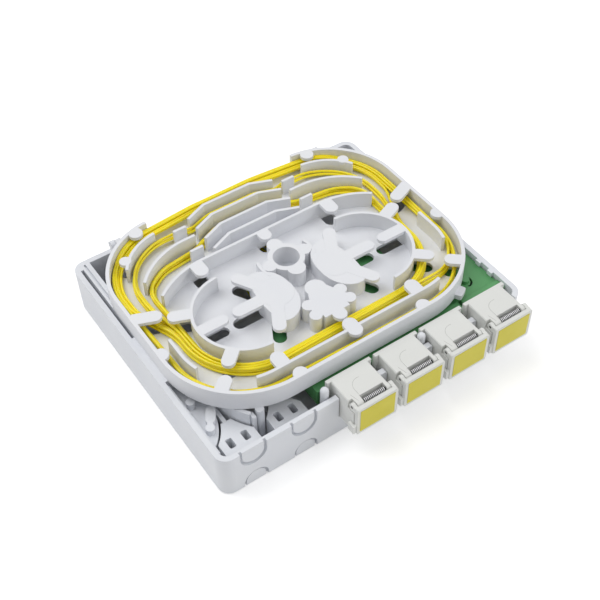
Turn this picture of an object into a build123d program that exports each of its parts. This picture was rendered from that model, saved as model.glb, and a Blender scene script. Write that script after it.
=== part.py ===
from build123d import *
import os
from math import cos, pi, radians, sin, tan

os.makedirs("parts", exist_ok=True)

# Four-port fibre termination box with its cover off. Millimetres.
# X runs along the adapter wall, Y from that wall to the back, Z up from the mounting face.
# The origin is the middle of the mounting face.

# Base box
box_length = 110.0
box_width = 91.5
rim_height = 16.8
wall = 1.8
floor_thickness = 2.0
corner_radius = 4.0
foot_radius = 0.8
screw_spacing = 60.0
screw_hole_radius = 2.1
screw_head_radius = 4.0
screw_head_depth = 1.2
boss_screw_radius = 1.6
post_boss_radius = 4.6
post_size = 3.0
cover_lug_inset = 8.2
cover_lug_half = 3.0
cover_lug_reach = 1.6
cover_lug_drop = 3.4
back_post_inset_x = 25.0
back_post_inset_y = 15.75

# How far a rib starts inside the wall it grows from, and how far a cut runs past a surface.
root = 0.5
over = 1.0

# Left wall: a step at the front, then a rail parted from the wall by a slot
step_width = 0.8
step_start = 3.0
step_drop = 1.4
rail_gap = 1.0
rail_width = 3.0
rail_start = 33.75
rail_slot_length = 34.0
rail_slot_floor = 7.0
rail_groove = 0.6

# Right wall: two snap tabs, a ledge for the inner cover and a thick stretch behind it
snap_width = 2.0
snap_reach = 0.9
snap_start = 12.0
snap_pitch = 5.5
ledge_reach = 1.2
ledge_start = 6.75
ledge_length = 25.0
thick_reach = 2.0
thick_length = 26.0

# Knock-outs in the front wall, and the cable anchors behind them
knock_width = 8.8
knock_groove = 0.8
knock_depth = 1.1
knock_recess = 0.35
upper_knock_z = 9.7
lower_knock_z = 5.8
lower_knock_shift = 0.4
first_knock_inset = 10.4
last_knock_gap = 18.95
anchor_half = 5.8
anchor_depth = 13.35
first_anchor_shift = -0.27
last_anchor_shift = -1.2
block_height = 12.0
tie_slot_width = 2.0
tie_slot_length = 3.4
tie_slot_spacing = 5.0
tie_slot_depth = 6.1
slit = 0.6
left_sweep = 16.6
left_sweep_x = 16.93
left_sweep_y = 21.95
drum_sweep = 22.0
drum_sweep_x = 22.57
drum_sweep_y = 23.55
drum_skin = 1.2
drum_top_gap = 0.3
rib_width = 1.2
rib_length = 8.0
hook_width = 1.2

# Leaf-shaped fingers on the platform beside the first anchor
leaf_width = 2.9
leaf_length = 7.5
leaf_neck = 1.7
leaf_ball = 1.4
leaf_height = 2.2
leaf_angle = 57.5
leaf_inset = 5.0
first_leaf_y = 14.4
leaf_pitch = 11.0

# Adapters, one behind each port
port_count = 4
adapter_width = 13.2
adapter_height = 11.6
adapter_reach = 6.6
adapter_depth = 12.4
adapter_chamfer = 0.3
adapter_gap = 0.25
post_width = 3.4
end_space = 2.7
bay_gap = 0.35
flange_thickness = 1.2
flange_overhang = 1.25
flange_gap = 0.2
sill_drop = 8.8
plug_pitch = 6.25
plug_opening = 4.7
plug_floor = 1.2
plug_cavity_depth = 9.6
latch_width = 3.4
latch_end = 2.0
roof = 3.3
rear_housing_depth = 7.0
rear_roof = 0.55
rear_side = 0.4
rear_plug = 3.0
rear_gap = 0.1
retaining_radius = 1.3
retaining_drop = 0.9
retaining_gap = 3.0

# Flap, its pin and its spring
flap_thickness = 1.3
flap_gap = 0.3
flap_corner = 0.7
flap_lift = 0.25
pin_radius = 0.45
pin_depth = 1.2
ear_thickness = 1.15
ear_gap = 0.15
hinge_clearance = 0.05
press_clearance = 0.02
spring_slot_start = -2.9
spring_slot_end = 5.3
spring_end_gap = 0.3
spring_clearance = 0.15
spring_wire = 0.32
spring_leg = 1.45
lug_height = 3.2
lug_lift = 0.8
lug_reach = 1.1
label_margin = 1.1
label_thickness = 0.15

# Splice tray
tray_side_gap = 2.6
tray_front_gap = 8.35
tray_back_gap = 1.95
tray_front_radius = 27.4
tray_back_radius = 25.5
tray_wall = 1.2
tray_floor = 1.2
tray_height = 7.0
tray_mouth = 56.6
guide = 1.0
tab_thickness = 1.2
finger_width = 4.2
narrow_finger = 3.8
wide_finger = 4.6
outer_channel = 6.6
side_guide_gap = 5.9
lower_guide_gap = 6.3
lower_guide_radius = 24.0
side_guide_radius = 22.0
boat_first_gap = 3.9
boat_pitch = 5.37
boat_count = 4
boat_half = 8.9
boat_end = 16.3
boat_drop = 3.0
boat_wing = 4.6
inner_wall_gap = 25.6
inner_wall_radius = 28.1
middle_guide_radius = 25.4
middle_guide_gap = 14.9
guide_centre_gap = 30.4
drum_radius = 16.2
drum_end_gap = 13.9
drum_front_gap = 30.9
hub_radius = 5.7
hub_spacing = 11.5
hub_reach = 15.3
boss_x = 0.1
boss_front_gap = 41.5
boss_hole_radius = 4.2
boss_wall = 1.7
boss_flank = 9.2
tray_lug_length = 4.2
tray_lug_width = 3.4

# Tray hinge
hinge_rise = 1.8
trunnion_radius = 1.0
ear_radius = 1.6
hinge_ear_inset = 15.0
hinge_ear_width = 1.6
hinge_side_gap = 0.15
hinge_arm_width = 2.0
hinge_arm_length = 5.5
hinge_arm_trim = 0.2

# Inner cover over the rear of the adapters
cover_drop = 1.8
cover_thickness = 1.0
cover_gap = 0.35
cover_left_gap = 3.75
cover_depth = 27.65
cover_corner = 6.0
tongue_start = 0.55
tongue_width = 22.0
tongue_depth = 14.0
cover_band_width = 3.6
cover_band_rise = 0.7
cover_stud_x = 10.5
cover_stud_y = 15.25
cover_stud_radius = 1.3
cover_post_radius = 1.8
cover_post_inset = 3.0

# Fibre
fibre_radius = 0.45
outer_coil_width = 2.2
inner_coil_width = 1.5
coil_height = 2.6
coil_seat = 0.2
coil_gap = 0.4
middle_coil_gap = 8.5
middle_coil_back_gap = 8.0
coil_dip = 1.1
inner_coil_gap = 11.2
inner_coil_front_gap = 9.9
inner_coil_back_gap = 12.7
coil_step = 1.65
wide_bend = 18.0
tight_bend = 6.0
crest_bend = 12.0
slope_bend = 9.0
notch_half = 9.0
sleeve_radius = 0.8
sleeve_bore = 0.65
sleeve_length = 6.6
sleeve_gap = 0.1
sleeve_slit = 0.2
holder_skin = 0.45
holder_reach = 3.6
holder_plate = 1.2
ferrule_radius = 0.62
boot_length = 6.5
boot_radius = 1.3
boot_tip_radius = 0.75
riser_pitch = 2.0
riser_gap = 0.02

# Places worked out from the sizes above
half_length = box_length / 2
front = -box_width / 2
back = box_width / 2
inner_x = half_length - wall
inner_y = front + wall
port_pitch = adapter_width + post_width + 2 * adapter_gap
last_port_x = inner_x - end_space - flange_overhang - adapter_width / 2
ports = [last_port_x - i * port_pitch for i in reversed(range(port_count))]
first_side = ports[0] - adapter_width / 2
sill_height = rim_height - sill_drop
adapter_top = sill_height + adapter_height
adapter_front = front - adapter_reach
flange_back = adapter_front + adapter_depth
flange_front = flange_back - flange_thickness
rear_end = flange_back + rear_housing_depth
cavity_end = adapter_front + plug_cavity_depth
plug_axis_z = sill_height + plug_floor + plug_opening / 2
pin_y = adapter_front + pin_depth
pin_z = adapter_top - pin_depth
tray_length = box_length - 2 * tray_side_gap
tray_half = tray_length / 2
tray_front = front + tray_front_gap
tray_back = back - tray_back_gap
tray_width = tray_back - tray_front
tray_centre_y = (tray_front + tray_back) / 2
tray_base = rim_height
tray_deck = tray_base + tray_floor
tray_top = tray_base + tray_height
tab_base = tray_top - tab_thickness
front_corner_x = tray_half - tray_front_radius
front_corner_y = tray_front + tray_front_radius
back_corner_x = tray_half - tray_back_radius
back_corner_y = tray_back - tray_back_radius
boat_tops = [tray_back - boat_first_gap - i * boat_pitch for i in range(boat_count)]
drum_x = tray_half - drum_end_gap - drum_radius
drum_y = tray_front + drum_front_gap
hub_x = drum_x - hub_spacing
boss_y = tray_front + boss_front_gap
lower_guide_y = tray_front + lower_guide_gap
inner_wall_y = tray_back - inner_wall_gap
guide_centre_x = tray_half - guide_centre_gap
hinge_x = half_length - hinge_ear_inset
hinge_y = back - wall / 2
hinge_z = rim_height + hinge_rise
cover_top = rim_height - cover_drop
cover_low = cover_top - cover_thickness
cover_left = first_side - cover_left_gap
cover_front = flange_back + flap_gap
cover_back = cover_front + cover_depth
coil_bottom = tray_deck + coil_seat


def block(x0, x1, y0, y1, z0, z1):
    return Pos((x0 + x1) / 2, (y0 + y1) / 2, (z0 + z1) / 2) * Box(x1 - x0, y1 - y0, z1 - z0)


def rod(radius, x, y, z0, z1):
    return Pos(x, y, (z0 + z1) / 2) * Cylinder(radius, z1 - z0)


def rod_x(radius, x0, x1, y, z):
    return Pos((x0 + x1) / 2, y, z) * Rot(0, 90, 0) * Cylinder(radius, x1 - x0)


def rod_y(radius, x, y0, y1, z):
    return Pos(x, (y0 + y1) / 2, z) * Rot(90, 0, 0) * Cylinder(radius, y1 - y0)


def rise(face, z0, z1):
    """A flat outline drawn on the ground, raised between two heights."""
    return Pos(0, 0, z0) * extrude(face, z1 - z0, dir=(0, 0, 1))


def both_sides(shape):
    return shape + mirror(shape, Plane.YZ)


def strip(*lines, width=guide):
    """A thin wall's outline along a line of edges."""
    return trace(lines, line_width=width)


def straight(x0, x1, y):
    """A thin wall's outline along X."""
    return Pos((x0 + x1) / 2, y) * Rectangle(abs(x1 - x0), guide)


def arc(x, y, radius, start, end):
    return CenterArc((x, y), radius, start, end - start)


def on_circle(x, y, radius, angle):
    return x + radius * cos(radians(angle)), y + radius * sin(radians(angle))


def finger_outline(x, y, angle, length, width=finger_width):
    """A bar with a round tip, from (x, y) towards an angle."""
    bar = Pos(length / 2 - width / 4, 0) * Rectangle(length - width / 2, width)
    bar += Pos(length - width / 2, 0) * Circle(width / 2)
    return Pos(x, y) * Rot(0, 0, angle) * bar


def write(shape, node):
    export_step(shape, "parts/" + node + ".step")


def knock_out(x, width, z_round, z_open):
    """The groove round one punch-out in the front wall, and the shallow recess of the punch-out itself."""
    radius = width / 2
    centre_z = z_round + radius if z_open > z_round else z_round - radius
    span = abs(z_open - centre_z)
    middle = (z_open + centre_z) / 2
    outer = Pos(x, centre_z) * Circle(radius)
    outer += Pos(x, middle) * Rectangle(width, span)
    inner = Pos(x, centre_z) * Circle(radius - knock_groove)
    inner += Pos(x, middle) * Rectangle(width - 2 * knock_groove, span + over)
    wall_plane = Plane.XZ.offset(-front)
    return extrude(wall_plane * (outer - inner), -knock_depth) + extrude(wall_plane * outer, -knock_recess)


def cable_anchor(x):
    """The platform behind a knock-out: two tie slots, and two swept flanks that meet in a thin rib."""
    depth = anchor_depth + root
    plan = Pos(x, inner_y - root + depth / 2) * Rectangle(2 * anchor_half, depth)
    plan -= Pos(x - left_sweep_x, front + left_sweep_y) * Circle(left_sweep + slit / 2)
    plan -= Pos(x + drum_sweep_x, front + drum_sweep_y) * Circle(drum_sweep + slit / 2)
    plan += Pos(x, inner_y + anchor_depth + rib_length / 2 - root) * Rectangle(rib_width, rib_length)
    body = rise(plan, floor_thickness - root, block_height)
    for side in (-1, 1):
        centre = Pos(x + side * tie_slot_spacing / 2, inner_y + tie_slot_depth)
        slot = centre * RectangleRounded(tie_slot_width, tie_slot_length, tie_slot_width / 4)
        body -= rise(slot, -over, block_height + over)
    return body


def leaf(y):
    """A flat leaf on a thin neck with a round knob at its free end."""
    plan = Circle(leaf_ball)
    plan += Pos(leaf_length / 2, 0) * Rectangle(leaf_length, leaf_neck)
    plan += Pos(leaf_length * 0.6, 0) * SlotOverall(leaf_length * 0.8, leaf_width)
    place = Pos(-half_length + leaf_inset, y) * Rot(0, 0, leaf_angle)
    return rise(place * plan, block_height - root, block_height + leaf_height)


def cable_bay(anchor_xs):
    """What stands in the front left corner: anchors, platform with leaf fingers, drum wall and hook."""
    first = anchor_xs[0]
    platform = Pos(first - left_sweep_x, front + left_sweep_y) * Circle(left_sweep - slit / 2)
    platform_length = 2 * left_sweep
    platform_start = front + step_start + anchor_depth / 2
    platform &= Pos(-inner_x - root + left_sweep / 2, platform_start + platform_length / 2) * Rectangle(
        left_sweep, platform_length
    )
    shape = rise(platform, floor_thickness - root, block_height)
    drum = arc(first + drum_sweep_x, front + drum_sweep_y, drum_sweep - (slit + drum_skin) / 2, 152, 218)
    shape += rise(strip(drum, width=drum_skin), floor_thickness - root, rim_height - drum_top_gap)
    for i in range(2):
        shape += leaf(front + first_leaf_y + i * leaf_pitch)
    for x in anchor_xs:
        shape += cable_anchor(x)
    # The snap hook between the two anchors, beside the post that the tray rests on.
    gap_middle = (anchor_xs[0] + anchor_xs[1]) / 2
    hook_y = front + anchor_depth - post_size
    shape += support_post(gap_middle + hook_width * 0.75, hook_y, 2 * hook_width, rim_height)
    hook_left = gap_middle - 1.75 * hook_width
    hook = block(hook_left, hook_left + hook_width, hook_y - hook_width, hook_y + hook_width,
                 floor_thickness - root, rim_height - hook_width)
    shape += fillet(hook.edges().group_by(Axis.Z)[-1].filter_by(Axis.X), hook_width / 3)
    return shape


def support_post(x, y, size, top):
    return rise(Pos(x, y) * RectangleRounded(size, size, size * 0.3), floor_thickness - root, top)


def left_rail():
    rail_x = -inner_x + rail_gap
    low = floor_thickness - root
    end = back - wall
    start = front + rail_start
    shape = block(-inner_x - root, -inner_x + step_width, inner_y + step_start, start, low,
                  rim_height - step_drop)
    shape += block(-inner_x - root, rail_x + rail_width, start, end + root, low, rim_height)
    slot_end = end - wall
    shape -= block(-inner_x, rail_x, slot_end - rail_slot_length, slot_end, rail_slot_floor,
                   rim_height + over)
    shape -= block(
        rail_x + wall / 2, rail_x + wall / 2 + rail_groove, start + wall, end,
        rim_height - step_width, rim_height + over
    )
    return shape


def right_wall():
    low = floor_thickness - root
    shape = block(inner_x - ledge_reach, inner_x + root, front + ledge_start,
                  front + ledge_start + ledge_length, low, cover_low)
    for i in range(2):
        y = front + snap_start + i * snap_pitch
        shape += block(inner_x - snap_reach, inner_x + root, y, y + snap_width,
                       cover_top + flange_gap / 2, rim_height)
    thick_end = back - back_post_inset_y
    shape += block(inner_x - thick_reach, inner_x + root, thick_end - thick_length, thick_end, low,
                   rim_height)
    return shape


def adapter_seats():
    """Posts, ribs, cradles and pins that hold the adapters, and two posts under the inner cover."""
    low = floor_thickness - root
    half_rib = post_width / 2 + adapter_gap - flange_overhang - flange_gap
    stop = flange_front - ear_gap
    for left, right in zip(ports, ports[1:]):
        middle = (left + right) / 2
        post = block(middle - post_width / 2, middle + post_width / 2, front, inner_y, low, rim_height)
        post = fillet(post.edges().group_by(Axis.Z)[-1].filter_by(Axis.Y), flap_corner)
        post += block(middle - 2 * half_rib, middle + 2 * half_rib, inner_y - root, stop, low,
                      rim_height - post_width)
        post += block(middle - half_rib, middle + half_rib, stop - root, rear_end, low,
                      sill_height + 2 * half_rib)
        shape = post if left == ports[0] else shape + post
    cradle = wall - rear_side
    for end in (flange_back - cradle - flange_thickness, rear_end - cradle):
        shape += block(first_side, inner_x + root, end, end + cradle, low, sill_height)
    for x in (cover_left + 2 * cover_post_radius, (ports[1] + ports[2]) / 2):
        shape += rod(cover_post_radius, x, cover_back - cover_post_inset, low, cover_low)
    pin_top = adapter_top - retaining_drop
    pin_row = inner_y + retaining_radius + rear_side
    for x in (first_side - retaining_gap, (ports[1] + ports[2]) / 2):
        shape += rod(retaining_radius, x, pin_row, low, pin_top)
        shape += Pos(x, pin_row, pin_top) * Sphere(retaining_radius)
    return shape


def base_box():
    outline = fillet(Rectangle(box_length, box_width).vertices(), corner_radius)
    shell = extrude(outline, rim_height)
    shell = fillet(shell.edges().group_by(Axis.Z)[0], foot_radius)
    shell -= rise(offset(outline, -wall), floor_thickness, rim_height + over)
    # Opening over the sill, from the cable bay's wall to the right corner.
    opening_start = first_side - bay_gap
    opening_end = ports[-1] + adapter_width / 2 + flange_overhang + over
    shell -= block(opening_start, opening_end, front - over, inner_y, sill_height, rim_height + over)
    shell += left_rail() + right_wall() + adapter_seats()
    knock_xs = [-half_length + first_knock_inset, ports[0] - last_knock_gap]
    shell += cable_bay([knock_xs[0] + first_anchor_shift, knock_xs[1] + last_anchor_shift])
    for x in knock_xs:
        shell -= knock_out(x, knock_width, upper_knock_z, rim_height + over)
        shell -= knock_out(x + lower_knock_shift, knock_width - 2 * knock_recess, lower_knock_z, -over)
    # Posts that the tray's back half rests on.
    for side in (-1, 1):
        x = side * (half_length - back_post_inset_x)
        shell += support_post(x, back - back_post_inset_y, post_size, rim_height)
    # Boss under the tray's screw hole.
    shell += rod(post_boss_radius, boss_x, boss_y, floor_thickness - root, rim_height)
    shell -= rod(boss_screw_radius, boss_x, boss_y, 2 * floor_thickness, rim_height + over)
    # Wall screws through the floor.
    for side in (-1, 1):
        x = side * screw_spacing / 2
        shell -= rod(screw_hole_radius, x, 0, -over, 2 * floor_thickness)
        sink = Cone(screw_hole_radius, screw_head_radius, screw_head_depth)
        shell -= Pos(x, 0, floor_thickness - screw_head_depth / 2) * sink
    # Hook lugs for the cover on the back wall.
    for side in (-1, 1):
        centre = side * (half_length - cover_lug_inset)
        lug_low = rim_height - cover_lug_drop
        lug = block(centre - cover_lug_half, centre + cover_lug_half, back - root, back + cover_lug_reach,
                    lug_low, lug_low + wall)
        shell += fillet(lug.edges().filter_by(Axis.Z).group_by(Axis.Y)[-1], cover_lug_reach / 2)
    # Ears of the tray hinge, on the back wall.
    for side in (-1, 1):
        left = side * hinge_x - hinge_ear_width / 2
        right = side * hinge_x + hinge_ear_width / 2
        ear = block(left, right, hinge_y - ear_radius, back, rim_height - 2 * ear_radius, hinge_z)
        ear += rod_x(ear_radius, left, right, hinge_y, hinge_z)
        shell += ear - rod_x(trunnion_radius + hinge_clearance, left - over, right + over, hinge_y, hinge_z)
    return shell


def tray_outline(inset):
    plan = Rectangle(tray_length - 2 * inset, tray_width - 2 * inset)
    plan = fillet(plan.vertices().group_by(Axis.Y)[0], tray_front_radius - inset)
    plan = fillet(plan.vertices().group_by(Axis.Y)[-1], tray_back_radius - inset)
    return Pos(0, tray_centre_y) * plan


def guide_walls():
    """Every thin wall inside the tray, as one flat outline."""
    plan = Sketch()
    for top in boat_tops:
        y = top - guide / 2
        low = y - boat_drop
        plan += strip(*Polyline((-boat_end, low), (-boat_half, y), (boat_half, y), (boat_end, low)).edges())
    back_guide = arc(-back_corner_x, back_corner_y, tray_back_radius - outer_channel, 95, 150)
    side = strip(back_guide)
    # Guide between the middle and the inner channel, with its straight end.
    top = tray_back - middle_guide_gap
    curve = arc(-guide_centre_x, top - middle_guide_radius, middle_guide_radius, 90, 140)
    side += strip(curve) + straight(-guide_centre_x, -boat_end - 2 * guide, top)
    for boat in (boat_tops[1], boat_tops[3]):
        side += Pos(-boat_end - boat_wing, boat - guide / 2) * Rectangle(boat_wing, guide)
    # Inner wall, which closes the drum space at the back.
    curve = arc(-guide_centre_x, inner_wall_y - inner_wall_radius, inner_wall_radius, 90, 129)
    side += strip(curve) + straight(-guide_centre_x, 0, inner_wall_y)
    # Drum wall, open towards the middle.
    side += strip(arc(-drum_x, drum_y, drum_radius - guide / 2, 90, 270))
    # Side guide beside the outer channel, and its curved end.
    side_x = -tray_half + side_guide_gap
    bend_x = side_x + side_guide_radius
    side += strip(Line((side_x, front_corner_y + 6.0), (side_x, front_corner_y - over)))
    side += strip(arc(bend_x, front_corner_y - over, side_guide_radius, 180, 198))
    # Lower guide behind the front wall.
    bend_x = -front_corner_x - 2 * guide
    bend = arc(bend_x, lower_guide_y + lower_guide_radius, lower_guide_radius, 255, 270)
    side += strip(bend) + straight(bend_x, 0, lower_guide_y)
    # Flank of the middle channel beside the boss.
    side += strip(arc(boss_x, boss_y, boss_flank, 160, 205))
    return plan + both_sides(side)


def tabs():
    """The flat tabs at the top of the walls that keep the fibre in: the left side's, and the middle ones."""
    left = -tray_half
    half_wall = tray_wall / 2
    side = finger_outline(left + half_wall, tray_centre_y + 5.6, -22, 9.0)
    x, y = on_circle(-front_corner_x, front_corner_y, tray_front_radius + finger_width / 2, 224)
    side += finger_outline(x, y, 40, 8.6)
    x, y = on_circle(-drum_x, drum_y, drum_radius - guide / 2, 152)
    side += finger_outline(x, y, 158, 7.2)
    x, y = on_circle(-drum_x, drum_y, drum_radius - guide, 226)
    side += finger_outline(x, y, 221, 7.0)
    side += finger_outline(-guide_centre_x - 2.6, inner_wall_y, 270, 6.2, wide_finger)
    side += finger_outline(-front_corner_x + half_wall, lower_guide_y - guide / 2, 90, 6.0, wide_finger)
    half_disc = Pos(left + tray_wall, tray_centre_y - 10.9) * Circle(wide_finger / 2)
    beyond = Rectangle(wide_finger, 2 * wide_finger)
    side += half_disc - Pos(left - wide_finger / 2, tray_centre_y - 10.9) * beyond
    half_disc = Pos(-22.2, tray_front + tray_wall) * Circle(wide_finger / 2)
    side += half_disc - Pos(-22.2, tray_front - wide_finger / 2) * Rectangle(2 * wide_finger, wide_finger)
    x, y = on_circle(-back_corner_x, back_corner_y, tray_back_radius - wide_finger / 2, 106)
    side += Pos(x, y) * Circle(wide_finger / 2)
    x, y = on_circle(-back_corner_x, back_corner_y, tray_back_radius - outer_channel + guide, 139)
    side += Pos(x, y) * Circle(narrow_finger / 2)
    side += finger_outline(-drum_x - drum_radius + guide / 2, drum_y, 0, 10.0, narrow_finger)
    middle = Pos(0, lower_guide_y + 0.3) * SlotCenterToCenter(2.6, wide_finger, rotation=90)
    middle += finger_outline(0, inner_wall_y, 270, 4.4)
    return side, middle


def hub_fingers():
    plan = Sketch()
    for angle in (119, 180, 241):
        plan += finger_outline(-hub_x, drum_y, angle, hub_reach)
    return plan


def upper_boss():
    """The lobed boss round the screw hole."""
    radius = boss_hole_radius + boss_wall
    plan = Pos(boss_x, boss_y) * Circle(radius)
    plan += Pos(boss_x, boss_y + radius + 0.5) * Circle(2.6)
    plan += Pos(boss_x, boss_y - radius + 0.3) * Circle(3.0)
    for side in (-1, 1):
        plan += Pos(boss_x + side * (radius + 0.5), boss_y - 0.4) * Circle(2.3)
    return plan


def lower_boss():
    """The bell-shaped boss between the two hubs."""
    top = drum_y - 6.0
    foot = top - 9.5
    plan = Pos(0, top + 0.5) * Circle(3.4)
    shoulder = foot + 2.5
    outline = [(-3.2, top), (3.2, top), (6.6, shoulder), (6.6, foot), (-6.6, foot), (-6.6, shoulder)]
    plan += Polygon(*outline, align=None)
    for side in (-1, 1):
        plan += Pos(side * 5.8, top - 4.1) * Circle(2.1)
        plan += Pos(side * 6.2, top - 8.5) * Circle(2.0)
    plan += Pos(0, foot + 0.2) * Rectangle(9.0, 3.4)
    return plan


def hinge_arm():
    """The tray's right hinge arm, with its trunnion pointing outwards."""
    near = hinge_x - hinge_ear_width / 2 - hinge_side_gap
    far = near - hinge_arm_width
    radius = ear_radius - hinge_arm_trim
    arm = block(far, near, hinge_y - hinge_arm_length, hinge_y, tray_base, hinge_z + radius)
    arm += rod_x(radius, far, near, hinge_y, hinge_z)
    arm -= rise(tray_outline(tray_wall / 2), tray_base - over, tray_top)
    return arm + rod_x(trunnion_radius, near, hinge_x + hinge_ear_width / 2, hinge_y, hinge_z)


def splice_tray():
    """The moulded tray: floor with core-outs, rim, guide walls, tabs, drums, bosses and hinge arms."""
    ring = tray_outline(0) - tray_outline(tray_wall)
    # The back of the wall is open where the fibres run past.
    ring -= Pos(0, tray_back) * Rectangle(tray_mouth, 12)
    side_tabs, middle_tabs = tabs()
    tops = both_sides(side_tabs + hub_fingers()) + middle_tabs
    columns = both_sides(Pos(-hub_x, drum_y) * Circle(hub_radius)) + upper_boss() + lower_boss()
    thin = ring + guide_walls()
    plate = rise(tray_outline(0), tray_base, tray_deck)
    # Core-outs under the tabs and fingers, cut short of every wall.
    plate -= rise(tops - columns, tray_base - over, tray_deck + over)
    # Notch in the floor's back edge, where the fibres come up from below.
    plate -= block(-notch_half, notch_half, boat_tops[0] + 0.8, tray_back + over, tray_base - over,
                   tray_deck + over)
    body = plate + rise(thin, tray_base, tray_top)
    body += rise(columns, tray_base, tray_top)
    body += rise(tops, tab_base, tray_top)
    body += rise(Pos(0, drum_y - 16.9) * SlotCenterToCenter(2.4, 4.4, rotation=90), tab_base, tray_top)
    body -= rod(boss_hole_radius, boss_x, boss_y, tray_base - over, tray_top + over)
    body = body & rise(tray_outline(0), tray_base, tray_top)
    # Locating lug at the front right.
    x, y = on_circle(front_corner_x, front_corner_y, tray_front_radius + 0.4, 298)
    lug = Pos(x, y) * Rot(0, 0, 28) * RectangleRounded(tray_lug_length, tray_lug_width, 0.8)
    body += rise(lug, tray_base, tray_base + 1.5 * tray_wall)
    return body + both_sides(hinge_arm())


def inner_cover():
    """The green plate over the rear of the adapters, with a tongue under the tray."""
    right = inner_x - cover_gap
    plan = Pos((cover_left + right) / 2,
               (cover_front + cover_back) / 2) * Rectangle(right - cover_left, cover_depth)
    tongue_x = ports[1] + tongue_start + tongue_width / 2
    tongue = Rectangle(tongue_width, tongue_depth + 2 * over)
    plan += Pos(tongue_x, cover_back + tongue_depth / 2 - over) * tongue
    plan = fillet(plan.vertices().group_by(Axis.Y)[-1], cover_corner)
    plan -= Pos(boss_x, boss_y) * Circle(cover_corner)
    plate = rise(plan, cover_low, cover_top)
    plate += block(cover_left, right, cover_front, cover_front + cover_band_width, cover_low,
                   cover_top + cover_band_rise)
    # A stud with a crescent slot beside it.
    stud = Pos(half_length - cover_stud_x, front + cover_stud_y)
    plate += rise(stud * Circle(cover_stud_radius), cover_low, cover_top + cover_stud_radius)
    crescent = Circle(cover_stud_radius + 1.1) - Circle(cover_stud_radius + 0.4)
    crescent -= Pos(-1.9, 0) * Rectangle(3.0, 6.0)
    plate -= rise(stud * crescent, cover_low - over, cover_top + 2 * over)
    # Notch under the tray's locating lug.
    x, y = on_circle(front_corner_x, front_corner_y, tray_front_radius + 0.4, 298)
    notch_end = cover_front + cover_band_width + 0.4
    plate -= block(x - 1.5, x - 0.3, cover_front - over, notch_end, cover_low - over, cover_top + 2 * over)
    skirt_end = cover_back - cover_corner
    return plate + block(cover_left, cover_left + over, cover_front, skirt_end,
                         cover_low - 4 * over, cover_low + root)


def adapter(x):
    """Adapter housing: two plug cavities with their latch notches, and one pocket at the rear."""
    left, right = x - adapter_width / 2, x + adapter_width / 2
    body = block(left, right, adapter_front, flange_back, sill_height, adapter_top)
    body = chamfer(body.edges().filter_by(Axis.Y), adapter_chamfer)
    body += block(left - flange_overhang, right + flange_overhang, flange_front, flange_back,
                  sill_height, adapter_top)
    rear_top = plug_axis_z + rear_plug / 2 + rear_gap + rear_roof
    body += block(left + rear_side, right - rear_side, flange_back - root, rear_end, sill_height, rear_top)
    # The top front edge is round about the hinge pin.
    body -= block(left - over, right + over, adapter_front - over, pin_y, pin_z, adapter_top + over)
    body += rod_x(pin_depth, left, right, pin_y, pin_z)
    # Slot for the spring and notch for the flap's left ear.
    slot_left, slot_right = x + spring_slot_start, x + spring_slot_end
    body -= block(slot_left, slot_right, adapter_front - over, pin_y + 1.25 * pin_depth,
                  pin_z - 1.2 * pin_depth, adapter_top + over)
    ear_end = left + ear_thickness + flap_gap
    body -= block(left - over, ear_end, adapter_front - over, pin_y + 1.5 * pin_depth,
                  pin_z - 1.5 * pin_depth, adapter_top + over)
    body -= rod_x(pin_radius + press_clearance, left - over, right + over, pin_y, pin_z)
    low = sill_height + plug_floor
    latch_top = adapter_top - roof
    for side in (-1, 1):
        cx = x + side * plug_pitch / 2
        cavity = block(cx - plug_opening / 2, cx + plug_opening / 2, adapter_front - over,
                       cavity_end, low, low + plug_opening)
        latch = block(cx - latch_width / 2, cx + latch_width / 2, adapter_front - over,
                      cavity_end - latch_end, low, latch_top)
        body -= cavity + latch
    half = rear_plug / 2 + rear_gap
    pocket = block(x - plug_pitch / 2 - half, x + plug_pitch / 2 + half, cavity_end - root, rear_end + over,
                   plug_axis_z - half, plug_axis_z + half)
    return body - pocket


def sleeve_holder(x):
    """The plate in the rear pocket with the two tubes that hold the sleeves."""
    half = rear_plug / 2
    plate = block(x - plug_pitch / 2 - half, x + plug_pitch / 2 + half, cavity_end,
                  cavity_end + holder_plate,
                  plug_axis_z - half, plug_axis_z + half)
    for side in (-1, 1):
        cx = x + side * plug_pitch / 2
        plate += rod_y(sleeve_radius + sleeve_gap + holder_skin, cx, cavity_end - holder_reach,
                       cavity_end + root, plug_axis_z)
    for side in (-1, 1):
        cx = x + side * plug_pitch / 2
        plate -= rod_y(sleeve_radius + sleeve_gap, cx, cavity_end - holder_reach - over,
                       cavity_end + 2 * holder_plate, plug_axis_z)
    return plate


def flap(x):
    """The dust flap: a plate with two ears on the pin and two finger lugs."""
    rear = adapter_front - flap_gap
    face = rear - flap_thickness
    low = sill_height + flap_lift
    left = x - adapter_width / 2 + hinge_clearance
    right = x + adapter_width / 2 + ear_thickness + ear_gap
    plate = block(left, right, face, rear, low, adapter_top)
    plate = fillet(plate.edges().filter_by(Axis.Y), flap_corner)
    for a, b in ((left, left + ear_thickness), (right - ear_thickness, right)):
        plate += rod_x(pin_depth, a, b, pin_y, pin_z)
        plate += block(a, b, rear - flap_gap, pin_y, pin_z - pin_depth, pin_z + pin_depth - flap_gap)
    plate -= rod_x(pin_radius + hinge_clearance, left - over, right + over, pin_y, pin_z)
    # Finger lugs low on both sides.
    side_gap = adapter_width / 2 + ear_gap
    lug_z = low + lug_lift
    for a, b in ((left - lug_reach, left + root), (x + side_gap, right)):
        lug = block(a, b, face + flap_gap, rear + flap_thickness + flap_gap, lug_z, lug_z + lug_height)
        plate += lug - block(x - side_gap, x + side_gap, rear, rear + 2 * flap_thickness, low,
                             lug_z + lug_height + over)
    return plate


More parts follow.
